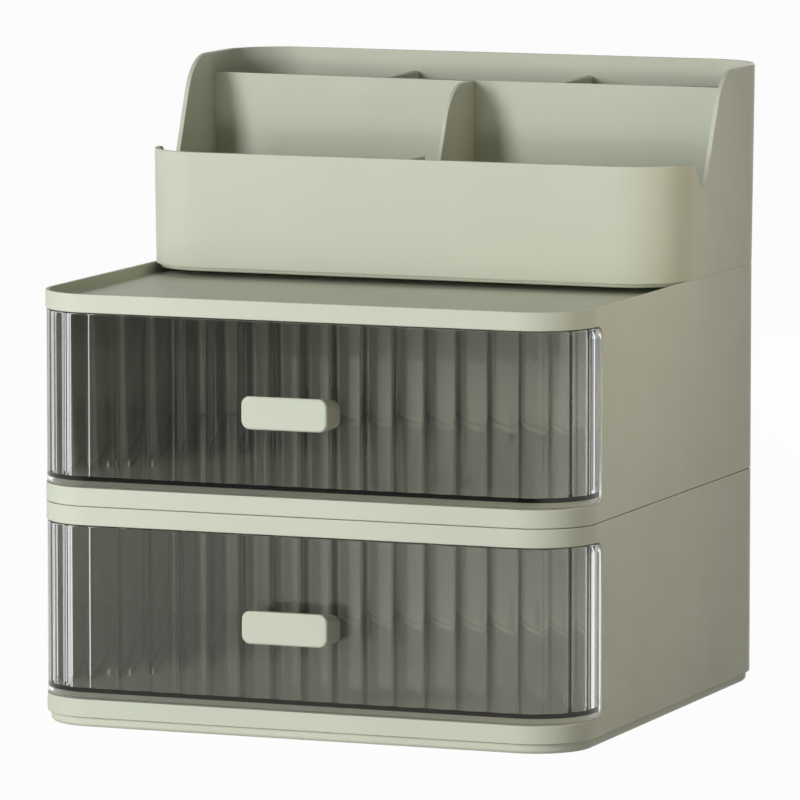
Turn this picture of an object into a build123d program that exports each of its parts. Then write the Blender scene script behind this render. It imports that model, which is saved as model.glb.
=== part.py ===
from build123d import *
from itertools import pairwise
from math import cos, radians, sin
import os

# Stackable drawer storage box: two equal drawer units and a divided tray on the rear half of the upper one.
# Millimetres. Origin on the standing surface, in the middle of the units' footprint. The drawers face -Y.

# Footprint, shared by the drawer units and, in width, by the tray
width = 260.0
depth = 260.0
corner_radius = 28.0

# Shell of a drawer unit
body_height = 95.0
wall = 2.2
panel_thickness = 2.2
rim_recess = 5.2
lip = 1.4
nest_clearance = 0.3
sill_height = 8.5
header_height = 8.3
opening_reach = 7.0
opening_corner = 6.0
stop_width = 50.0
stop_thickness = 3.0
stop_clearance = 0.5
stop_share = 0.65

# Base of a drawer unit
foot_height = 4.2
foot_bevel = 1.2
foot_wall = 3.8
base_fit = 0.2
base_floor = 2.0
base_step = 0.2
rib_thickness = 2.0
runner_width = 4.0
runner_inset = 20.0
runner_setback = 60.0
runner_end_gap = 4.0
runner_gap = 0.3

# Snap beads that hold a base in its shell
snap_length = 18.0
snap_height = 1.6
snap_reach = 0.8
snap_pitch = 70.0
snap_clearance = 0.2
snap_rise_share = 0.5

# Clear drawer
drawer_travel = 175.0
front_setback = 0.3
front_gap = 0.5
front_thickness = 2.2
flute_depth = 0.9
flute_count = 14
corner_flutes = 3
crest_height = 0.57
crest_share = 0.27
drawer_wall = 1.8
drawer_floor = 2.0
floor_rise = 2.4
side_drop = 4.2
side_clearance = 1.3
rear_clearance = 3.0

# Handle and its screws
handle_width = 40.5
handle_height = 14.8
handle_reach = 16.0
handle_corner = 4.0
handle_top_drop = 2.2
handle_bevel = 0.7
handle_wall = 2.0
rib_width = 6.8
screw_radius = 1.5
screw_fit = 0.05
screw_hole_clearance = 0.2
screw_grip = 10.0
screw_head_radius = 2.8
screw_head_height = 1.8
screw_pad_margin = 1.0
screw_flutes_apart = 1

# Tray
tray_depth = 133.0
tray_wall = 2.2
tray_floor = 2.0
tray_foot = 2.0
tray_foot_wall = 2.4
tray_draft = 0.7
tray_front_height = 52.8
tray_back_height = 91.8
front_row = 24.4
middle_row = 61.7
divider = 2.0
low_wall_height = 44.0
tall_wall_height = 82.0
front_divider_drop = 0.8
shoulder_rounding = 2.5
valley_setback = 15.0
valley_height = 36.5
valley_rounding = 5.0
rise_run = 24.0
crest_rounding = 25.0
rear_cells = 3

# How far a cut runs past the face that it opens
overrun = 5.0

# Places worked out from the sizes above
half_width = width / 2
half_depth = depth / 2
lower_seam = foot_height
upper_seam = lower_seam + body_height
tray_seam = upper_seam + body_height
foot_inset = lip + nest_clearance
base_inset = wall + base_fit
runner_spacing = width - 2 * runner_inset
opening_height = body_height - sill_height - header_height
handle_rise = sill_height + opening_height / 2
opening_end = corner_radius + opening_reach - half_depth
flat_half = half_width - corner_radius
corner_y = corner_radius - half_depth
front_face = front_setback - half_depth
ridge_thickness = front_thickness + flute_depth + crest_height
ridge_y = front_face + ridge_thickness
wrap_end = opening_end - front_gap
under_drawer = base_step + front_gap + floor_rise
tub_half = half_width - wall - side_clearance
tub_inner_half = tub_half - drawer_wall
rear_corner = corner_radius - wall - side_clearance
drawer_rear = half_depth - wall - rear_clearance
inner_rear = drawer_rear - drawer_wall
panel_rise = body_height - rim_recess - panel_thickness
front_rise = body_height - header_height - front_gap
side_rise = front_rise - side_drop
stop_height = (panel_rise - side_rise) * stop_share
stop_rear = inner_rear - drawer_travel - stop_clearance
flute_pitch = 2 * flat_half / flute_count
screw_spacing = screw_flutes_apart * flute_pitch


def snap_places(inset, height):
    """Middles of the snap beads, on an upright contour that lies inset from the unit's outside."""
    across = [Location((0, 0, 0)), Location((snap_pitch, 0, 0)), Location((-snap_pitch, 0, 0))]
    walls = [
        Location((0, inset - half_depth, height)),
        Location((0, half_depth - inset, height)),
        Location((inset - half_width, 0, height), (0, 0, 90)),
        Location((half_width - inset, 0, height), (0, 0, 90)),
    ]
    return [face * place for face in walls for place in across]


def make_shell(seam):
    """Cover of a drawer unit: walls, top panel sunk below its rim, drawer stop and wrap-round opening."""
    rim = seam + body_height
    opening_length = opening_end + half_depth + opening_corner + overrun
    with BuildPart() as shell:
        with BuildSketch(Plane.XY.offset(seam)):
            RectangleRounded(width, depth, corner_radius)
        extrude(amount=body_height)
        with BuildSketch(Plane.XY.offset(seam)):
            RectangleRounded(width - 2 * wall, depth - 2 * wall, corner_radius - wall)
        extrude(amount=panel_rise, mode=Mode.SUBTRACT)
        with BuildSketch(Plane.XY.offset(rim)):
            RectangleRounded(width - 2 * lip, depth - 2 * lip, corner_radius - lip)
        extrude(amount=-rim_recess, mode=Mode.SUBTRACT)
        with BuildSketch(Plane.XY.offset(seam + panel_rise)):
            with Locations((0, stop_rear - stop_thickness / 2)):
                Rectangle(stop_width, stop_thickness)
        extrude(amount=-stop_height)
        with BuildSketch(Plane.YZ):
            with Locations((opening_end - opening_length / 2, seam + handle_rise)):
                RectangleRounded(opening_length, opening_height, opening_corner)
        extrude(amount=width, both=True, mode=Mode.SUBTRACT)
        pocket_depth = 2 * (snap_reach - base_fit + snap_clearance)
        with Locations(*snap_places(wall, seam + snap_rise_share * sill_height)):
            Box(
                snap_length + 2 * snap_clearance,
                pocket_depth,
                snap_height + 2 * snap_clearance,
                mode=Mode.SUBTRACT,
            )
    return shell


def make_base(seam):
    """Base of a drawer unit: bevelled foot, upstand inside the shell, floor, drawer runners and ribs."""
    ground = seam - foot_height
    floor_top = seam + sill_height - base_step
    hollow_inset = foot_inset + foot_wall
    runner_start = ridge_y + runner_setback
    runner_end = half_depth - base_inset - runner_end_gap
    with BuildPart() as base:
        with BuildSketch(Plane.XY.offset(ground)):
            RectangleRounded(width - 2 * foot_inset, depth - 2 * foot_inset, corner_radius - foot_inset)
        extrude(amount=foot_height)
        chamfer(base.faces().sort_by(Axis.Z)[0].edges(), length=foot_bevel)
        with BuildSketch(Plane.XY.offset(seam)):
            RectangleRounded(width - 2 * base_inset, depth - 2 * base_inset, corner_radius - base_inset)
        extrude(amount=floor_top - seam)
        with BuildSketch(Plane.XY.offset(ground)):
            RectangleRounded(width - 2 * hollow_inset, depth - 2 * hollow_inset, corner_radius - hollow_inset)
            Rectangle(rib_thickness, depth, mode=Mode.SUBTRACT)
            Rectangle(width, rib_thickness, mode=Mode.SUBTRACT)
        extrude(amount=floor_top - base_floor - ground, mode=Mode.SUBTRACT)
        with BuildSketch(Plane.XY.offset(floor_top)):
            with Locations((0, (runner_start + runner_end) / 2)):
                with GridLocations(runner_spacing, 0, 2, 1):
                    Rectangle(runner_width, runner_end - runner_start)
        extrude(amount=under_drawer - runner_gap)
        with Locations(*snap_places(base_inset, seam + snap_rise_share * sill_height)):
            Box(snap_length, 2 * snap_reach, snap_height)
    return base


def flute_hollow(step):
    """How deep the drawer front's inside lies behind its ridges: steep round crests between hollow flutes."""
    from_ridge = abs(step - round(step))
    if from_ridge < crest_share / 2:
        return crest_height * (2 * from_ridge / crest_share) ** 2
    return crest_height + flute_depth * (1 - ((1 - 2 * from_ridge) / (1 - crest_share)) ** 2)


def fluted_point(step):
    """Point on the fluted inside of the drawer front, with steps counted in ridges from the flat's left end.

    Steps below zero and past the last flute turn round the rounded corners.
    """
    hollow = flute_hollow(step)
    past = max(-step, step - flute_count, 0)
    if past == 0:
        return (step * flute_pitch - flat_half, ridge_y - hollow)
    side = 1 if step > 0 else -1
    turn = radians(past * 90 / corner_flutes)
    front_radius = corner_y - ridge_y
    side_radius = tub_inner_half - flat_half
    radius = front_radius + (side_radius - front_radius) * past / corner_flutes + hollow
    return (side * (flat_half + radius * sin(turn)), corner_y - radius * cos(turn))


def make_drawer(seam):
    """Clear drawer in one moulding: smooth wrap-round front, flutes inside it, tub and stop tab."""
    front_low = seam + sill_height + front_gap
    front_high = seam + front_rise
    floor_low = front_low + floor_rise
    floor_high = floor_low + drawer_floor
    side_high = seam + side_rise
    middle = seam + handle_rise
    pad = 2 * (screw_head_radius + screw_pad_margin)
    inset = front_setback + front_thickness
    with BuildPart() as drawer:
        with BuildSketch(Plane.XY.offset(front_low)):
            RectangleRounded(
                width - 2 * front_setback, depth - 2 * front_setback, corner_radius - front_setback
            )
            with Locations((0, wrap_end)):
                Rectangle(width, depth, align=(Align.CENTER, Align.MIN), mode=Mode.SUBTRACT)
        extrude(amount=front_high - front_low)
        wrap_edges = drawer.faces().sort_by(Axis.Y)[-1].edges().filter_by(Axis.X)
        fillet(wrap_edges, radius=opening_corner - front_gap)
        with BuildSketch(Plane.XY.offset(floor_low)) as tub:
            with Locations((0, drawer_rear)):
                Rectangle(2 * tub_half, drawer_rear - corner_y, align=(Align.CENTER, Align.MAX))
            fillet(tub.vertices().group_by(Axis.Y)[-1], radius=rear_corner)
        extrude(amount=side_high - floor_low)
        with BuildSketch(Plane.XY.offset(front_low)):
            RectangleRounded(width - 2 * inset, depth - 2 * inset, corner_radius - inset)
        extrude(amount=floor_rise, mode=Mode.SUBTRACT)
        with BuildSketch(Plane.XY.offset(floor_high)):
            with BuildLine():
                for ridge in range(-corner_flutes, flute_count + corner_flutes):
                    stations = (ridge, ridge + crest_share / 2, ridge + 1 - crest_share / 2, ridge + 1)
                    for start, end in pairwise(stations):
                        ThreePointArc(
                            fluted_point(start), fluted_point((start + end) / 2), fluted_point(end)
                        )
                FilletPolyline(
                    fluted_point(flute_count + corner_flutes),
                    (tub_inner_half, inner_rear),
                    (-tub_inner_half, inner_rear),
                    fluted_point(-corner_flutes),
                    radius=rear_corner - drawer_wall,
                )
            make_face()
        extrude(amount=front_high - floor_high, mode=Mode.SUBTRACT)
        with BuildSketch(Plane.XY.offset(side_high)):
            with Locations((0, inner_rear)):
                Rectangle(stop_width, drawer_wall, align=(Align.CENTER, Align.MIN))
        extrude(amount=stop_height)
        with BuildSketch(Plane.XZ.offset(-ridge_y)):
            with Locations((0, middle)):
                with GridLocations(screw_spacing, 0, 2, 1):
                    Rectangle(pad, pad)
        extrude(amount=ridge_thickness - front_thickness / 2)
        with BuildSketch(Plane.XZ.offset(-ridge_y)):
            with Locations((0, middle)):
                with GridLocations(screw_spacing, 0, 2, 1):
                    Circle(screw_radius + screw_hole_clearance)
        extrude(amount=ridge_thickness, mode=Mode.SUBTRACT)
    return drawer


def make_handle(seam):
    """Hollow block handle, its top sloping down to the drawer front, with two ribs for its screws."""
    middle = seam + handle_rise
    root_middle = middle - handle_top_drop / 2
    root_height = handle_height - handle_top_drop
    cavity = handle_reach - handle_wall
    with BuildPart() as handle:
        with BuildSketch(Plane.XZ.offset(-front_face)):
            with Locations((0, root_middle)):
                RectangleRounded(handle_width, root_height, handle_corner)
        with BuildSketch(Plane.XZ.offset(handle_reach - front_face)):
            with Locations((0, middle)):
                RectangleRounded(handle_width, handle_height, handle_corner)
        loft()
        chamfer(handle.faces().sort_by(Axis.Y)[0].edges(), length=handle_bevel)
        with BuildSketch(Plane.XZ.offset(-front_face)):
            with Locations((0, root_middle)):
                RectangleRounded(
                    handle_width - 2 * handle_wall,
                    root_height - 2 * handle_wall,
                    handle_corner - handle_wall,
                )
            with Locations((0, root_middle)):
                with GridLocations(screw_spacing, 0, 2, 1):
                    Rectangle(rib_width, root_height, mode=Mode.SUBTRACT)
        extrude(amount=cavity, mode=Mode.SUBTRACT)
        with BuildSketch(Plane.XZ.offset(-front_face)):
            with Locations((0, middle)):
                with GridLocations(screw_spacing, 0, 2, 1):
                    Circle(screw_radius + screw_fit)
        extrude(amount=screw_grip + handle_wall, mode=Mode.SUBTRACT)
    return handle


def make_screws(seam):
    """Two round-headed screws, from inside the drawer through its front into the handle's ribs."""
    middle = seam + handle_rise
    with BuildPart() as screws:
        with BuildSketch(Plane.XZ.offset(-ridge_y)):
            with Locations((0, middle)):
                with GridLocations(screw_spacing, 0, 2, 1):
                    Circle(screw_head_radius)
        extrude(amount=-screw_head_height)
        with BuildSketch(Plane.XZ.offset(-ridge_y)):
            with Locations((0, middle)):
                with GridLocations(screw_spacing, 0, 2, 1):
                    Circle(screw_radius)
        extrude(amount=ridge_thickness + screw_grip)
    return screws


def make_tray(seam):
    """Tray in one moulding: foot ring, drafted walls with a swept side outline, and three rows of cells."""
    front = half_depth - tray_depth
    low_wall = front + tray_wall + front_row
    tall_wall = low_wall + divider + middle_row
    middle_y = half_depth - tray_depth / 2
    floor_top = seam + tray_floor
    valley = (low_wall + valley_setback, seam + valley_height)
    crest = (valley[0] + rise_run, seam + tray_back_height)
    rise_share = (tall_wall_height - valley_height) / (tray_back_height - valley_height)
    divider_crest = (valley[0] + rise_run * rise_share, seam + tall_wall_height)
    beyond = half_depth + tray_back_height
    with BuildPart() as outline:
        with BuildSketch(Plane.XY.offset(seam)):
            with Locations((0, middle_y)):
                RectangleRounded(width, tray_depth, corner_radius)
        extrude(amount=tray_back_height, taper=-tray_draft)
        with BuildSketch(Plane.YZ):
            with BuildLine():
                FilletPolyline(
                    (front - overrun, seam + tray_front_height),
                    (low_wall, seam + tray_front_height),
                    valley,
                    crest,
                    (beyond, crest[1]),
                    radius=[shoulder_rounding, valley_rounding, crest_rounding],
                )
                Polyline(
                    (beyond, crest[1]),
                    (beyond, crest[1] + overrun),
                    (front - overrun, crest[1] + overrun),
                    (front - overrun, seam + tray_front_height),
                )
            make_face()
        extrude(amount=width, both=True, mode=Mode.SUBTRACT)
    with BuildPart() as dividers:
        with BuildSketch(Plane.YZ):
            with Locations((low_wall, seam)):
                Rectangle(divider, low_wall_height, align=(Align.MIN, Align.MIN))
            with Locations((tall_wall, seam)):
                Rectangle(divider, tall_wall_height, align=(Align.MIN, Align.MIN))
        extrude(amount=width, both=True)
        with BuildSketch(Plane.YZ):
            with Locations((front, seam)):
                Rectangle(
                    low_wall - front, tray_front_height - front_divider_drop, align=(Align.MIN, Align.MIN)
                )
        extrude(amount=divider / 2, both=True)
        with BuildSketch(Plane.YZ):
            with BuildLine():
                FilletPolyline(
                    (low_wall, seam + low_wall_height),
                    valley,
                    divider_crest,
                    (tall_wall, divider_crest[1]),
                    radius=[valley_rounding, crest_rounding],
                )
                Polyline(
                    (tall_wall, divider_crest[1]),
                    (tall_wall, seam),
                    (low_wall, seam),
                    (low_wall, seam + low_wall_height),
                )
            make_face()
        extrude(amount=divider / 2, both=True)
        with BuildSketch(Plane.XY.offset(seam)):
            with Locations((0, (tall_wall + half_depth) / 2)):
                with GridLocations(width / rear_cells, 0, rear_cells - 1, 1):
                    Rectangle(divider, half_depth - tall_wall)
        extrude(amount=tall_wall_height)
        add(outline.part, mode=Mode.INTERSECT)
    with BuildPart() as tray:
        add(outline.part)
        with BuildSketch(Plane.XY.offset(floor_top)):
            with Locations((0, middle_y)):
                RectangleRounded(
                    width - 2 * tray_wall, tray_depth - 2 * tray_wall, corner_radius - tray_wall
                )
        extrude(amount=tray_back_height, taper=-tray_draft, mode=Mode.SUBTRACT)
        add(dividers.part)
        foot_width = width - 2 * foot_inset
        foot_depth = tray_depth - 2 * foot_inset
        with BuildSketch(Plane.XY.offset(seam)):
            with Locations((0, middle_y)):
                RectangleRounded(foot_width, foot_depth, corner_radius - foot_inset)
                RectangleRounded(
                    foot_width - 2 * tray_foot_wall,
                    foot_depth - 2 * tray_foot_wall,
                    corner_radius - foot_inset - tray_foot_wall,
                    mode=Mode.SUBTRACT,
                )
        extrude(amount=-tray_foot)
    return tray


os.makedirs("parts", exist_ok=True)

makers = {
    "shell": make_shell,
    "base": make_base,
    "drawer": make_drawer,
    "handle": make_handle,
    "handle_screws": make_screws,
}
for unit, unit_seam in (("lower", lower_seam), ("upper", upper_seam)):
    for piece, make in makers.items():
        made = make(unit_seam)
        made.part.label = f"{unit}_{piece}"
        export_step(made.part, f"parts/{unit}_{piece}.step")

top_tray = make_tray(tray_seam)
top_tray.part.label = "top_tray"
export_step(top_tray.part, "parts/top_tray.step")
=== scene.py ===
"""Looks of a drawer storage box: sage mouldings, clear fluted drawers and a divided tray on a pale stage."""

from math import cos, hypot, radians, sin

import bmesh
import bpy
from bpy.props import FloatProperty, FloatVectorProperty, PointerProperty
from bpy.types import Operator, Panel, PropertyGroup
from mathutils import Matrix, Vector


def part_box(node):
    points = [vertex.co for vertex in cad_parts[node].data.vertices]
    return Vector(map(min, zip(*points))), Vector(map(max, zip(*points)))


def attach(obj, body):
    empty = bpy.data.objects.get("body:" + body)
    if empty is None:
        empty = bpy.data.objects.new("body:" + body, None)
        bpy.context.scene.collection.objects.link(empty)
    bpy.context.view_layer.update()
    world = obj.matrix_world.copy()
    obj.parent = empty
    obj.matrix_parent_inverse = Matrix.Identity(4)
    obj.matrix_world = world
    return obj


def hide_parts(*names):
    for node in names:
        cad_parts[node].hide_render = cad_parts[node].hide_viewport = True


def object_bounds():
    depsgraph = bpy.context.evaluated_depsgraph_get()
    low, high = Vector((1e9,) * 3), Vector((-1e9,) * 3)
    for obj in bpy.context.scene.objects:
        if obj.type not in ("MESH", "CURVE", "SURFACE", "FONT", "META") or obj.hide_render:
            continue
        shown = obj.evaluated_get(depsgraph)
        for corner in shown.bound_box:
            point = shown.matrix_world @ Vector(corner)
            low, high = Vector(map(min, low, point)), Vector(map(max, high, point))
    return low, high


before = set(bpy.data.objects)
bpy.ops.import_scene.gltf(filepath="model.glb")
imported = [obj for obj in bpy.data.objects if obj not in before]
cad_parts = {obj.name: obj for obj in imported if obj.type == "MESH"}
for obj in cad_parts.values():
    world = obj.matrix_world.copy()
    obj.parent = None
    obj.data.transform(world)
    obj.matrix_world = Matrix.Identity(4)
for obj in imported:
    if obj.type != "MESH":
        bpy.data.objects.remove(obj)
cad_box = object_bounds()
unit_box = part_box("lower_shell")

bl_info = {
    "name": "Drawer Storage Box",
    "version": (1, 0, 0),
    "blender": (4, 5, 0),
    "location": "View3D > Sidebar > Storage Box",
    "description": "Dresses the stacked drawer units and the tray of a desk-top storage box",
    "category": "Object",
}

UNITS = ("lower", "upper")
MM = 0.001

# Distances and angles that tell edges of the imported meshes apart
WELD = 0.002 * MM
HAIR = 0.05 * MM
OUTLINE_BAND = 0.2 * MM
FLAT_ANGLE = radians(0.4)
SHARP_ANGLE = radians(35)
SHADE_ANGLE = radians(30)
WALL_TOP_ANGLE = radians(6)

# Share of a bevel's width at which rounding both its edges makes it a quarter round
BEVEL_TO_ROUND = 0.41

# Faces across a rounded sharp edge, and across each edge of a rounded bevel
EDGE_SEGMENTS = 4
BEVEL_SEGMENTS = 3

# Noise patterns of the finishes, in cells per metre and levels of detail, and where their values mostly lie
TONE_NOISE = (14, 2)
POLISH_NOISE = (60, 3)
GRAIN_NOISE = (1600, 2)
CLEAR_NOISE = (90, 2)
STEEL_NOISE = (700, 3)
NOISE_SPAN = (0.3, 0.7)

# Least and greatest share of the colour, and roughness from the shiniest to the dullest places
TONE_SPREAD = (0.975, 1.02)
SAGE_ROUGHNESS = (0.46, 0.54)
CLEAR_ROUGHNESS = (0, 0.008)
STEEL_ROUGHNESS = (0.24, 0.4)

# Other values of the finishes
SAGE_SPECULAR = 0.4
GRAIN_STRENGTH = 0.25
GRAIN_DEPTH = 0.03 * MM
CLEAR_IOR = 1.49

# Stage: half the floor's width, share of its own white where it is seen, and the camera's film and reach
FLOOR_HALF = 30
FLOOR_WHITE_SHARE = 0.97
WHITE = (1, 1, 1, 1)
FILM_WIDTH = 36
CAMERA_REACH = 100


class StorageBoxSizes(PropertyGroup):
    """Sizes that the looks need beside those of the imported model."""

    corner_radius: FloatProperty(
        name="Corner Radius",
        description="Radius of the units' upright corners",
        default=28 * MM,
        unit="LENGTH",
    )
    rim_recess: FloatProperty(
        name="Rim Recess",
        description="How deep the top panel lies below its rim",
        default=5.2 * MM,
        unit="LENGTH",
    )
    sill_height: FloatProperty(
        name="Sill Height",
        description="Height of the band under a drawer",
        default=8.5 * MM,
        unit="LENGTH",
    )
    header_height: FloatProperty(
        name="Header Height",
        description="Height of the band over a drawer",
        default=8.3 * MM,
        unit="LENGTH",
    )
    opening_depth: FloatProperty(
        name="Opening Depth",
        description="How far the drawer opening runs back along the sides",
        default=35 * MM,
        unit="LENGTH",
    )
    foot_inset: FloatProperty(
        name="Foot Inset",
        description="How far a base's foot stands inside the units' outline",
        default=1.7 * MM,
        unit="LENGTH",
    )
    foot_bevel: FloatProperty(
        name="Foot Bevel",
        description="Bevel of a base's foot",
        default=1.2 * MM,
        unit="LENGTH",
    )
    front_setback: FloatProperty(
        name="Front Setback",
        description="How far a drawer's front stands inside the units' outline",
        default=0.3 * MM,
        unit="LENGTH",
    )
    handle_bevel: FloatProperty(
        name="Handle Bevel",
        description="Bevel round a handle's front",
        default=0.7 * MM,
        unit="LENGTH",
    )
    clear_softness: FloatProperty(
        name="Clear Softness",
        description="Rounding of the clear drawers' edges",
        default=0.5 * MM,
        unit="LENGTH",
    )
    edge_softness: FloatProperty(
        name="Edge Softness",
        description="Rounding of the mouldings' outer edges",
        default=0.45 * MM,
        unit="LENGTH",
    )
    seam_gap: FloatProperty(
        name="Seam Gap",
        description="Height of the dark gap under a shell's lower edge",
        default=0.3 * MM,
        unit="LENGTH",
    )
    tray_foot_rounding: FloatProperty(
        name="Tray Foot Rounding",
        description="Rounding of the lower edge of the tray's foot",
        default=1.4 * MM,
        unit="LENGTH",
    )
    tray_softness: FloatProperty(
        name="Tray Softness",
        description="Rounding of the tray's wall tops",
        default=0.4 * MM,
        unit="LENGTH",
    )


class StorageBoxColours(PropertyGroup):
    """Colours of the finishes, in linear light."""

    sage: FloatVectorProperty(
        name="Sage Plastic",
        description="Colour of the matt mouldings",
        subtype="COLOR",
        size=4,
        min=0,
        max=1,
        default=(0.60, 0.63, 0.515, 1),
    )
    clear: FloatVectorProperty(
        name="Clear Plastic",
        description="Tint of the clear drawers",
        subtype="COLOR",
        size=4,
        min=0,
        max=1,
        default=(0.93, 0.94, 0.93, 1),
    )
    film: FloatVectorProperty(
        name="Clear Film",
        description="Share of the lamps' light that passes each face of the clear drawers",
        subtype="COLOR",
        size=4,
        min=0,
        max=1,
        default=(0.95, 0.94, 0.93, 1),
    )
    polish: FloatVectorProperty(
        name="Clear Polish",
        description="Strength of the clear drawers' mirror image",
        subtype="COLOR",
        size=4,
        min=0,
        max=1,
        default=(1.0, 0.95, 0.85, 1),
    )
    steel: FloatVectorProperty(
        name="Screw Steel",
        description="Colour of the plated handle screws",
        subtype="COLOR",
        size=4,
        min=0,
        max=1,
        default=(0.62, 0.62, 0.60, 1),
    )


class StorageBoxStage(PropertyGroup):
    """Camera, lamps and floor."""

    azimuth: FloatProperty(
        name="Azimuth",
        description="How far round to the right the camera stands",
        default=radians(21.21),
        unit="ROTATION",
    )
    elevation: FloatProperty(
        name="Elevation",
        description="How far the camera looks down",
        default=radians(6.88),
        unit="ROTATION",
    )
    distance: FloatProperty(
        name="Distance",
        description="From the camera to the point that it looks at",
        default=3.634,
        unit="LENGTH",
    )
    aim_height: FloatProperty(
        name="Aim Height",
        description="Height of the point that the camera looks at",
        default=0.13,
        unit="LENGTH",
    )
    lens: FloatProperty(
        name="Lens",
        description="Focal length in millimetres",
        default=360,
        unit="CAMERA",
    )
    shift_x: FloatProperty(name="Shift X", description="Sideways shift of the frame", default=-0.0051)
    shift_y: FloatProperty(name="Shift Y", description="Upward shift of the frame", default=0.01925)
    key_power: FloatProperty(
        name="Key Power",
        description="Power of the tall soft lamp on the front left",
        default=18.5,
        unit="POWER",
    )
    key_azimuth: FloatProperty(
        name="Key Azimuth",
        description="Where the soft lamp stands, round from the front",
        default=radians(-26),
        unit="ROTATION",
    )
    key_elevation: FloatProperty(
        name="Key Elevation",
        description="How high the soft lamp stands",
        default=radians(15),
        unit="ROTATION",
    )
    key_distance: FloatProperty(
        name="Key Distance",
        description="From the box to the soft lamp",
        default=1.6,
        unit="LENGTH",
    )
    key_width: FloatProperty(
        name="Key Width",
        description="Width of the soft lamp",
        default=0.4,
        unit="LENGTH",
    )
    key_height: FloatProperty(
        name="Key Height",
        description="Height of the soft lamp",
        default=0.85,
        unit="LENGTH",
    )
    key_colour: FloatVectorProperty(
        name="Key Colour",
        description="Colour of the soft lamp",
        subtype="COLOR",
        size=3,
        min=0,
        max=1,
        default=(0.98, 0.99, 1.0),
    )
    low_power: FloatProperty(
        name="Low Power",
        description="Power of the weak low lamp that reaches into the drawers",
        default=3.0,
        unit="POWER",
    )
    low_azimuth: FloatProperty(
        name="Low Azimuth",
        description="Where the low lamp stands, round from the front",
        default=radians(-3),
        unit="ROTATION",
    )
    low_elevation: FloatProperty(
        name="Low Elevation",
        description="How high the low lamp stands",
        default=radians(0),
        unit="ROTATION",
    )
    low_distance: FloatProperty(
        name="Low Distance",
        description="From the box to the low lamp",
        default=1.6,
        unit="LENGTH",
    )
    low_width: FloatProperty(
        name="Low Width",
        description="Width of the low lamp",
        default=0.5,
        unit="LENGTH",
    )
    low_height: FloatProperty(
        name="Low Height",
        description="Height of the low lamp",
        default=0.2,
        unit="LENGTH",
    )
    fill_power: FloatProperty(
        name="Fill Power",
        description="Power of the small warm lamp on the right",
        default=0.2,
        unit="POWER",
    )
    fill_azimuth: FloatProperty(
        name="Fill Azimuth",
        description="Where the warm lamp stands, round from the front",
        default=radians(78),
        unit="ROTATION",
    )
    fill_elevation: FloatProperty(
        name="Fill Elevation",
        description="How high the warm lamp stands",
        default=radians(22),
        unit="ROTATION",
    )
    fill_distance: FloatProperty(
        name="Fill Distance",
        description="From the box's middle to the warm lamp",
        default=0.36,
        unit="LENGTH",
    )
    fill_size: FloatProperty(
        name="Fill Size",
        description="Width and height of the warm lamp",
        default=0.2,
        unit="LENGTH",
    )
    fill_colour: FloatVectorProperty(
        name="Fill Colour",
        description="Colour of the warm lamp",
        subtype="COLOR",
        size=3,
        min=0,
        max=1,
        default=(1.0, 0.88, 0.68),
    )
    rear_power: FloatProperty(
        name="Rear Power",
        description="Power of the weak lamp behind the box",
        default=6,
        unit="POWER",
    )
    rear_azimuth: FloatProperty(
        name="Rear Azimuth",
        description="Where the lamp behind the box stands, round from the front",
        default=radians(180),
        unit="ROTATION",
    )
    rear_elevation: FloatProperty(
        name="Rear Elevation",
        description="How high the lamp behind the box stands",
        default=radians(14),
        unit="ROTATION",
    )
    rear_distance: FloatProperty(
        name="Rear Distance",
        description="From the box to the lamp behind it",
        default=1.6,
        unit="LENGTH",
    )
    rear_width: FloatProperty(
        name="Rear Width",
        description="Width of the lamp behind the box",
        default=0.6,
        unit="LENGTH",
    )
    rear_height: FloatProperty(
        name="Rear Height",
        description="Height of the lamp behind the box",
        default=0.35,
        unit="LENGTH",
    )
    room_light: FloatProperty(
        name="Room Light",
        description="Strength of the light from all round, at the height of the box",
        default=0.17,
    )
    ceiling_light: FloatProperty(
        name="Ceiling Light",
        description="Strength of the light from right above",
        default=0.05,
    )
    room_colour: FloatVectorProperty(
        name="Room Colour",
        description="Colour of the light from all round",
        subtype="COLOR",
        size=4,
        min=0,
        max=1,
        default=(1.0, 0.93, 0.82, 1),
    )
    floor_colour: FloatVectorProperty(
        name="Floor Colour",
        description="Colour of the floor for the light that it throws back",
        subtype="COLOR",
        size=4,
        min=0,
        max=1,
        default=(0.62, 0.62, 0.62, 1),
    )
    floor_near: FloatProperty(
        name="Floor Near",
        description="How far in front of the middle of the box the floor's mirror image starts to fade",
        default=0.82,
        unit="LENGTH",
    )
    floor_far: FloatProperty(
        name="Floor Far",
        description="How far in front of the middle of the box the floor's mirror image is dim",
        default=0.95,
        unit="LENGTH",
    )
    floor_dim: FloatProperty(
        name="Floor Dim",
        description="Strength of the floor's mirror image beyond the fade",
        default=0.2,
    )


def sizes():
    """The sizes set in the sidebar."""
    return bpy.context.scene.storage_box_sizes


def colours():
    """The colours set in the sidebar."""
    return bpy.context.scene.storage_box_colours


def stage():
    """The stage settings set in the sidebar."""
    return bpy.context.scene.storage_box_stage


def new_material(name):
    """An empty node material, with its nodes and links."""
    material = bpy.data.materials.new(name)
    material.use_nodes = True
    tree = material.node_tree
    tree.nodes.clear()
    return material, tree.nodes, tree.links


def add_node(nodes, kind, **values):
    """A shader node with its sockets set, where an underscore in a name stands for a space."""
    node = nodes.new(kind)
    for name, value in values.items():
        node.inputs[name.replace("_", " ")].default_value = value
    return node


def add_noise(nodes, links, pattern):
    """The factor of a noise pattern on the piece's own coordinates."""
    scale, detail = pattern
    place = nodes.new("ShaderNodeTexCoord")
    noise = add_node(nodes, "ShaderNodeTexNoise", Scale=scale, Detail=detail)
    links.new(place.outputs["Object"], noise.inputs["Vector"])
    return noise.outputs["Fac"]


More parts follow.
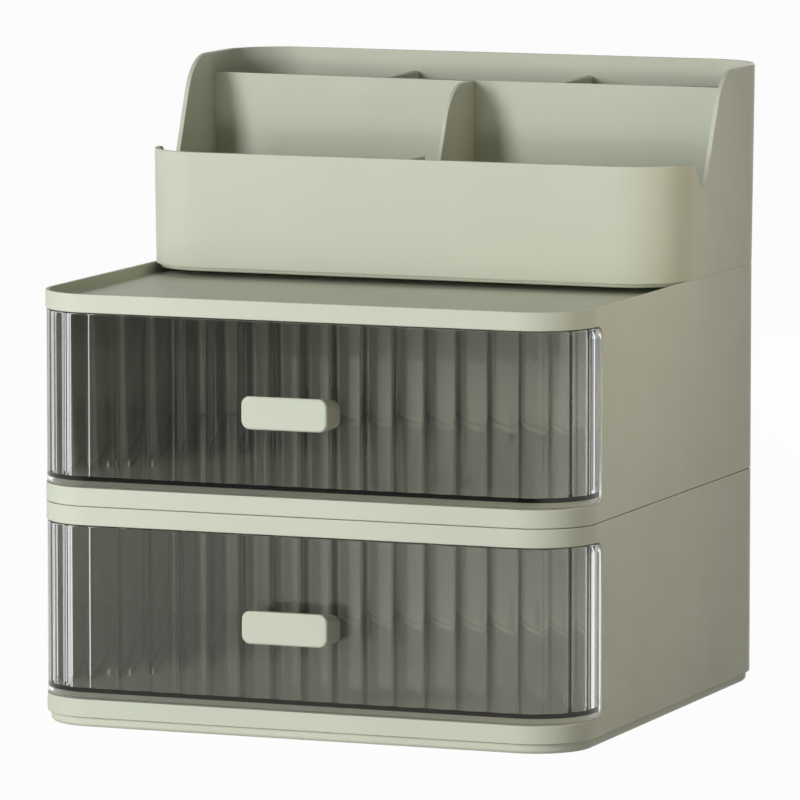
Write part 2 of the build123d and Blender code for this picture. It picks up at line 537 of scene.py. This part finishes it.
def map_range(nodes, links, value, source, result):
    """A value carried over from the range source to the range result."""
    spread = add_node(
        nodes,
        "ShaderNodeMapRange",
        From_Min=source[0],
        From_Max=source[1],
        To_Min=result[0],
        To_Max=result[1],
    )
    links.new(value, spread.inputs["Value"])
    return spread.outputs["Result"]


def vary(nodes, links, pattern, result):
    """A noise pattern spread over the range result."""
    return map_range(nodes, links, add_noise(nodes, links, pattern), NOISE_SPAN, result)


def finish_material(nodes, links, shader):
    """Join a shader to the material's output."""
    output = nodes.new("ShaderNodeOutputMaterial")
    links.new(shader, output.inputs["Surface"])


def sage_plastic():
    """Matt moulded plastic with a fine grain and faintly uneven colour and polish."""
    material, nodes, links = new_material("sage_plastic_matt")
    shader = nodes.new("ShaderNodeBsdfPrincipled")
    shader.inputs["Specular IOR Level"].default_value = SAGE_SPECULAR
    tone = nodes.new("ShaderNodeMix")
    tone.data_type = "RGBA"
    pigment = Vector(colours().sage)
    for socket, share in zip("AB", TONE_SPREAD):
        tone.inputs[socket].default_value = (*(pigment * share)[:3], 1)
    links.new(vary(nodes, links, TONE_NOISE, (0, 1)), tone.inputs["Factor"])
    links.new(tone.outputs["Result"], shader.inputs["Base Color"])
    links.new(vary(nodes, links, POLISH_NOISE, SAGE_ROUGHNESS), shader.inputs["Roughness"])
    grain = add_node(nodes, "ShaderNodeBump", Strength=GRAIN_STRENGTH, Distance=GRAIN_DEPTH)
    links.new(add_noise(nodes, links, GRAIN_NOISE), grain.inputs["Height"])
    links.new(grain.outputs["Normal"], shader.inputs["Normal"])
    finish_material(nodes, links, shader.outputs["BSDF"])
    return material


def clear_plastic():
    """Clear polished plastic that lets the lamps through to what is behind it."""
    material, nodes, links = new_material("clear_plastic_polished")
    shader = nodes.new("ShaderNodeBsdfPrincipled")
    shader.inputs["Base Color"].default_value = colours().clear
    shader.inputs["Transmission Weight"].default_value = 1
    shader.inputs["IOR"].default_value = CLEAR_IOR
    shader.inputs["Specular Tint"].default_value = colours().polish
    links.new(vary(nodes, links, CLEAR_NOISE, CLEAR_ROUGHNESS), shader.inputs["Roughness"])
    film = nodes.new("ShaderNodeBsdfTransparent")
    film.inputs["Color"].default_value = colours().film
    rays = nodes.new("ShaderNodeLightPath")
    blend = nodes.new("ShaderNodeMixShader")
    links.new(rays.outputs["Is Shadow Ray"], blend.inputs["Fac"])
    links.new(shader.outputs["BSDF"], blend.inputs[1])
    links.new(film.outputs["BSDF"], blend.inputs[2])
    finish_material(nodes, links, blend.outputs["Shader"])
    return material


def screw_steel():
    """Plated steel with a lightly uneven polish."""
    material, nodes, links = new_material("screw_steel_plated")
    shader = nodes.new("ShaderNodeBsdfPrincipled")
    shader.inputs["Base Color"].default_value = colours().steel
    shader.inputs["Metallic"].default_value = 1
    links.new(vary(nodes, links, STEEL_NOISE, STEEL_ROUGHNESS), shader.inputs["Roughness"])
    finish_material(nodes, links, shader.outputs["BSDF"])
    return material


def combine(nodes, links, operation, first, second):
    """Two factors joined by an operation, where the second may be a plain number."""
    joined = nodes.new("ShaderNodeMath")
    joined.operation = operation
    links.new(first, joined.inputs[0])
    if isinstance(second, (int, float)):
        joined.inputs[1].default_value = second
    else:
        links.new(second, joined.inputs[1])
    return joined.outputs["Value"]


def seen_rays(nodes, links):
    """A factor of one for rays that show the background: straight, mirrored or through clear plastic.

    Light that a matt surface has scattered is left out, since it lights the box and shows nothing.
    """
    rays = nodes.new("ShaderNodeLightPath")
    indirect = combine(
        nodes, links, "MAXIMUM", rays.outputs["Is Glossy Ray"], rays.outputs["Is Transmission Ray"]
    )
    total = combine(nodes, links, "MAXIMUM", indirect, rays.outputs["Is Camera Ray"])
    unscattered = combine(nodes, links, "LESS_THAN", rays.outputs["Diffuse Depth"], 1)
    return combine(nodes, links, "MULTIPLY", total, unscattered)


def floor_paint():
    """White floor that keeps a soft shadow and whose mirror image is dim far in front of the box."""
    setting = stage()
    material, nodes, links = new_material("floor_white")
    paint = nodes.new("ShaderNodeBsdfDiffuse")
    paint.inputs["Color"].default_value = setting.floor_colour
    glow = nodes.new("ShaderNodeEmission")
    place = nodes.new("ShaderNodeTexCoord")
    parts = nodes.new("ShaderNodeSeparateXYZ")
    links.new(place.outputs["Object"], parts.inputs["Vector"])
    fade = (-setting.floor_far, -setting.floor_near)
    image = map_range(nodes, links, parts.outputs["Y"], fade, (setting.floor_dim, 1))
    rays = nodes.new("ShaderNodeLightPath")
    strength = combine(nodes, links, "MAXIMUM", image, rays.outputs["Is Camera Ray"])
    links.new(strength, glow.inputs["Strength"])
    share = combine(nodes, links, "MULTIPLY", seen_rays(nodes, links), FLOOR_WHITE_SHARE)
    blend = nodes.new("ShaderNodeMixShader")
    links.new(share, blend.inputs["Fac"])
    links.new(paint.outputs["BSDF"], blend.inputs[1])
    links.new(glow.outputs["Emission"], blend.inputs[2])
    finish_material(nodes, links, blend.outputs["Shader"])
    return material


finishes = {}


def finish_of(make):
    """The material that a function makes, made once and shared."""
    if make not in finishes:
        finishes[make] = make()
    return finishes[make]


def paint_node(node, make):
    """Give a CAD node its finish."""
    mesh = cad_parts[node].data
    mesh.materials.clear()
    mesh.materials.append(finish_of(make))


def depth_inside(point, corner):
    """How far a point lies inside the units' outline, seen from above."""
    low, high = unit_box
    across = abs(point.x - (low.x + high.x) / 2) - (high.x - low.x) / 2 + corner
    along = abs(point.y - (low.y + high.y) / 2) - (high.y - low.y) / 2 + corner
    return corner - hypot(max(across, 0), max(along, 0)) - min(max(across, along), 0)


def round_over(shape, wanted, width, segments):
    """Round the sharp edges of a shape that a test wants."""
    sharp = [edge for edge in shape.edges if edge.is_manifold and edge.calc_face_angle() > SHARP_ANGLE]
    chosen = [edge for edge in sharp if wanted(edge)]
    if not chosen:
        raise RuntimeError("no edge to round")
    bmesh.ops.bevel(
        shape,
        geom=chosen,
        offset=width,
        offset_type="OFFSET",
        segments=segments,
        profile=0.5,
        affect="EDGES",
        clamp_overlap=False,
        material=-1,
    )


def softened_copy(name, node, roundings, lift=0):
    """A welded copy of a CAD node to use in its place, its foot lifted and some sharp edges rounded over.

    Each rounding is a test of edges, a width and the number of faces across.
    """
    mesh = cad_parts[node].data.copy()
    mesh.name = name
    mesh.attributes.remove(mesh.attributes["custom_normal"])
    shape = bmesh.new()
    shape.from_mesh(mesh)
    bmesh.ops.remove_doubles(shape, verts=shape.verts, dist=WELD)
    bmesh.ops.dissolve_limit(
        shape,
        angle_limit=FLAT_ANGLE,
        use_dissolve_boundaries=False,
        verts=shape.verts,
        edges=shape.edges,
        delimit=set(),
    )
    lowest = min(corner.co.z for corner in shape.verts)
    foot = [corner for corner in shape.verts if corner.co.z < lowest + HAIR]
    bmesh.ops.translate(shape, verts=foot, vec=(0, 0, lift))
    for wanted, width, segments in roundings:
        round_over(shape, wanted, width, segments)
    for face in shape.faces:
        face.smooth = True
    for edge in shape.edges:
        edge.smooth = True
    shape.to_mesh(mesh)
    shape.free()
    mesh.set_sharp_from_angle(angle=SHADE_ANGLE)
    piece = bpy.data.objects.new(name, mesh)
    bpy.context.scene.collection.objects.link(piece)
    even = piece.modifiers.new("even_shading", "WEIGHTED_NORMAL")
    even.keep_sharp = True
    return piece


def dress(piece, make, body, node):
    """Give a piece its finish and its body, in place of the CAD node that it was copied from."""
    piece.data.materials.clear()
    piece.data.materials.append(finish_of(make))
    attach(piece, body)
    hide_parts(node)


def middle(edge):
    """Middle of an edge."""
    return (edge.verts[0].co + edge.verts[1].co) / 2


class STORAGEBOX_OT_shells(Operator):
    """Shells of the drawer units, with rounded rims, openings and lower edges, and a fine gap under each"""

    bl_idname = "storage_box.shells"
    bl_label = "Shells"

    def execute(self, context):
        form = sizes()
        for unit in UNITS:
            low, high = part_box(f"{unit}_shell")

            def wanted(edge):
                place = middle(edge)
                rise = place.z - low.z
                if rise > high.z - low.z - form.rim_recess - HAIR:
                    return True
                if rise < form.seam_gap + HAIR:
                    return depth_inside(place, form.corner_radius) < OUTLINE_BAND
                opening_top = high.z - low.z - form.header_height
                in_height = form.sill_height - HAIR < rise < opening_top + HAIR
                return in_height and place.y < low.y + form.opening_depth + HAIR

            roundings = [(wanted, form.edge_softness, EDGE_SEGMENTS)]
            piece = softened_copy(f"{unit}_cover", f"{unit}_shell", roundings, form.seam_gap)
            dress(piece, sage_plastic, f"{unit}_unit", f"{unit}_shell")
        return {"FINISHED"}


class STORAGEBOX_OT_bases(Operator):
    """Bases of the drawer units"""

    bl_idname = "storage_box.bases"
    bl_label = "Bases"

    def execute(self, context):
        form = sizes()
        for unit in UNITS:
            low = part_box(f"{unit}_base")[0]

            def wanted(edge):
                place = middle(edge)
                outer = depth_inside(place, form.corner_radius) < form.foot_inset + form.foot_bevel + HAIR
                return outer and place.z < low.z + form.foot_bevel + HAIR

            roundings = [(wanted, form.foot_bevel * BEVEL_TO_ROUND, BEVEL_SEGMENTS)]
            piece = softened_copy(f"{unit}_foot", f"{unit}_base", roundings)
            dress(piece, sage_plastic, f"{unit}_unit", f"{unit}_base")
        return {"FINISHED"}


class STORAGEBOX_OT_drawers(Operator):
    """Clear fluted drawers"""

    bl_idname = "storage_box.drawers"
    bl_label = "Drawers"

    def execute(self, context):
        form = sizes()

        def wanted(edge):
            outside = form.front_setback + HAIR
            return all(depth_inside(corner.co, form.corner_radius) < outside for corner in edge.verts)

        roundings = [(wanted, form.clear_softness, EDGE_SEGMENTS)]
        for unit in UNITS:
            piece = softened_copy(f"{unit}_clear_drawer", f"{unit}_drawer", roundings)
            dress(piece, clear_plastic, f"{unit}_drawer", f"{unit}_drawer")
        return {"FINISHED"}


class STORAGEBOX_OT_handles(Operator):
    """Block handles and their screws"""

    bl_idname = "storage_box.handles"
    bl_label = "Handles"

    def execute(self, context):
        form = sizes()
        for unit in UNITS:
            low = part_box(f"{unit}_handle")[0]

            def wanted(edge):
                return middle(edge).y < low.y + form.handle_bevel + HAIR

            roundings = [(wanted, form.handle_bevel * BEVEL_TO_ROUND, BEVEL_SEGMENTS)]
            piece = softened_copy(f"{unit}_block_handle", f"{unit}_handle", roundings)
            dress(piece, sage_plastic, f"{unit}_drawer", f"{unit}_handle")
            paint_node(f"{unit}_handle_screws", screw_steel)
        return {"FINISHED"}


class STORAGEBOX_OT_tray(Operator):
    """Divided tray, with the tops of its walls and its foot rounded over"""

    bl_idname = "storage_box.tray"
    bl_label = "Tray"

    def execute(self, context):
        form = sizes()
        low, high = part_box("top_tray")
        centre = (low + high) / 2

        def wall_top(edge):
            if middle(edge).z < low.z + form.rim_recess:
                return False
            return any(face.normal.z > sin(WALL_TOP_ANGLE) for face in edge.link_faces)

        def foot_edge(edge):
            place = middle(edge)
            outward = Vector((place.x - centre.x, place.y - centre.y, 0))
            return place.z < low.z + HAIR and any(face.normal.dot(outward) > HAIR for face in edge.link_faces)

        roundings = [
            (wall_top, form.tray_softness, EDGE_SEGMENTS),
            (foot_edge, form.tray_foot_rounding, EDGE_SEGMENTS),
        ]
        piece = softened_copy("divided_tray", "top_tray", roundings)
        dress(piece, sage_plastic, "tray", "top_tray")
        return {"FINISHED"}


def direction(azimuth, elevation):
    """Unit vector from the box towards a place round it."""
    flat = cos(elevation)
    return Vector((sin(azimuth) * flat, -cos(azimuth) * flat, sin(elevation)))


def aim(thing, back):
    """Turn a camera or lamp so that it looks against the direction back."""
    thing.rotation_euler = (-back).to_track_quat("-Z", "Y").to_euler()


def add_floor(scene):
    """Wide floor just under the box."""
    shape = bmesh.new()
    bmesh.ops.create_grid(shape, x_segments=1, y_segments=1, size=FLOOR_HALF)
    bmesh.ops.translate(shape, verts=shape.verts, vec=(0, 0, cad_box[0].z - HAIR))
    mesh = bpy.data.meshes.new("floor")
    shape.to_mesh(mesh)
    shape.free()
    mesh.materials.append(floor_paint())
    floor = bpy.data.objects.new("floor", mesh)
    scene.collection.objects.link(floor)


def add_camera(scene):
    """Camera with a long lens, where the photograph was taken from."""
    setting = stage()
    view = bpy.data.cameras.new("camera")
    view.lens = setting.lens
    view.sensor_width = FILM_WIDTH
    view.shift_x = setting.shift_x
    view.shift_y = setting.shift_y
    view.clip_end = CAMERA_REACH
    camera = bpy.data.objects.new("camera", view)
    back = direction(setting.azimuth, setting.elevation)
    camera.location = Vector((0, 0, setting.aim_height)) + back * setting.distance
    aim(camera, back)
    scene.collection.objects.link(camera)
    scene.camera = camera


def add_lamp(scene, name, power, size, colour, mirrored):
    """A soft lamp that faces the box and doesn't show through clear plastic."""
    setting = stage()
    light = bpy.data.lights.new(name, "AREA")
    light.shape = "RECTANGLE"
    light.size, light.size_y = size
    light.energy = power
    light.color = colour
    lamp = bpy.data.objects.new(name, light)
    back = direction(getattr(setting, f"{name}_azimuth"), getattr(setting, f"{name}_elevation"))
    distance = getattr(setting, f"{name}_distance")
    lamp.location = Vector((0, 0, setting.aim_height)) + back * distance
    aim(lamp, back)
    lamp.visible_camera = False
    lamp.visible_transmission = False
    lamp.visible_glossy = mirrored
    scene.collection.objects.link(lamp)


def add_lamps(scene):
    """Tall soft lamp on the front left, low one in front, small warm one on the right and weak one behind."""
    setting = stage()
    white = setting.key_colour
    fill_size = (setting.fill_size, setting.fill_size)
    key_size = (setting.key_width, setting.key_height)
    low_size = (setting.low_width, setting.low_height)
    rear_size = (setting.rear_width, setting.rear_height)
    add_lamp(scene, "fill", setting.fill_power, fill_size, setting.fill_colour, mirrored=True)
    add_lamp(scene, "key", setting.key_power, key_size, white, mirrored=False)
    add_lamp(scene, "low", setting.low_power, low_size, white, mirrored=False)
    add_lamp(scene, "rear", setting.rear_power, rear_size, white, mirrored=True)


def add_room(scene):
    """White backdrop where it is seen, and weak light from all round that fades upwards."""
    setting = stage()
    world = bpy.data.worlds.new("studio")
    world.use_nodes = True
    nodes = world.node_tree.nodes
    links = world.node_tree.links
    nodes.clear()
    room = nodes.new("ShaderNodeBackground")
    room.inputs["Color"].default_value = setting.room_colour
    way = nodes.new("ShaderNodeTexCoord")
    height = nodes.new("ShaderNodeSeparateXYZ")
    links.new(way.outputs["Generated"], height.inputs["Vector"])
    lights = (setting.room_light, setting.ceiling_light)
    strength = map_range(nodes, links, height.outputs["Z"], (0, 1), lights)
    links.new(strength, room.inputs["Strength"])
    backdrop = nodes.new("ShaderNodeBackground")
    backdrop.inputs["Color"].default_value = WHITE
    blend = nodes.new("ShaderNodeMixShader")
    links.new(seen_rays(nodes, links), blend.inputs["Fac"])
    links.new(room.outputs["Background"], blend.inputs[1])
    links.new(backdrop.outputs["Background"], blend.inputs[2])
    output = nodes.new("ShaderNodeOutputWorld")
    links.new(blend.outputs["Shader"], output.inputs["Surface"])
    scene.world = world


class STORAGEBOX_OT_stage(Operator):
    """Floor, camera, lamps and room"""

    bl_idname = "storage_box.stage"
    bl_label = "Stage"

    def execute(self, context):
        scene = context.scene
        scene.view_settings.view_transform = "Standard"
        add_floor(scene)
        add_camera(scene)
        add_lamps(scene)
        add_room(scene)
        return {"FINISHED"}


OPERATORS = (
    STORAGEBOX_OT_shells,
    STORAGEBOX_OT_bases,
    STORAGEBOX_OT_drawers,
    STORAGEBOX_OT_handles,
    STORAGEBOX_OT_tray,
    STORAGEBOX_OT_stage,
)


class STORAGEBOX_PT_sidebar(Panel):
    """Buttons that make the box's pieces and its stage"""

    bl_idname = "STORAGEBOX_PT_sidebar"
    bl_label = "Storage Box"
    bl_space_type = "VIEW_3D"
    bl_region_type = "UI"
    bl_category = "Storage Box"

    def draw(self, context):
        for operator in OPERATORS:
            self.layout.operator(operator.bl_idname)
        for group in (sizes(), colours(), stage()):
            for name in group.bl_rna.properties.keys():
                if name not in ("rna_type", "name"):
                    self.layout.prop(group, name)


CLASSES = (StorageBoxSizes, StorageBoxColours, StorageBoxStage, *OPERATORS, STORAGEBOX_PT_sidebar)


def register():
    """Register the classes and hang the settings on the scene."""
    for item in CLASSES:
        bpy.utils.register_class(item)
    bpy.types.Scene.storage_box_sizes = PointerProperty(type=StorageBoxSizes)
    bpy.types.Scene.storage_box_colours = PointerProperty(type=StorageBoxColours)
    bpy.types.Scene.storage_box_stage = PointerProperty(type=StorageBoxStage)


def unregister():
    """Take the settings and the classes away again."""
    del bpy.types.Scene.storage_box_stage
    del bpy.types.Scene.storage_box_colours
    del bpy.types.Scene.storage_box_sizes
    for item in reversed(CLASSES):
        bpy.utils.unregister_class(item)


def main():
    """Make every piece and the stage."""
    register()
    bpy.ops.storage_box.stage()
    bpy.ops.storage_box.shells()
    bpy.ops.storage_box.bases()
    bpy.ops.storage_box.drawers()
    bpy.ops.storage_box.handles()
    bpy.ops.storage_box.tray()


if __name__ == "__main__":
    main()
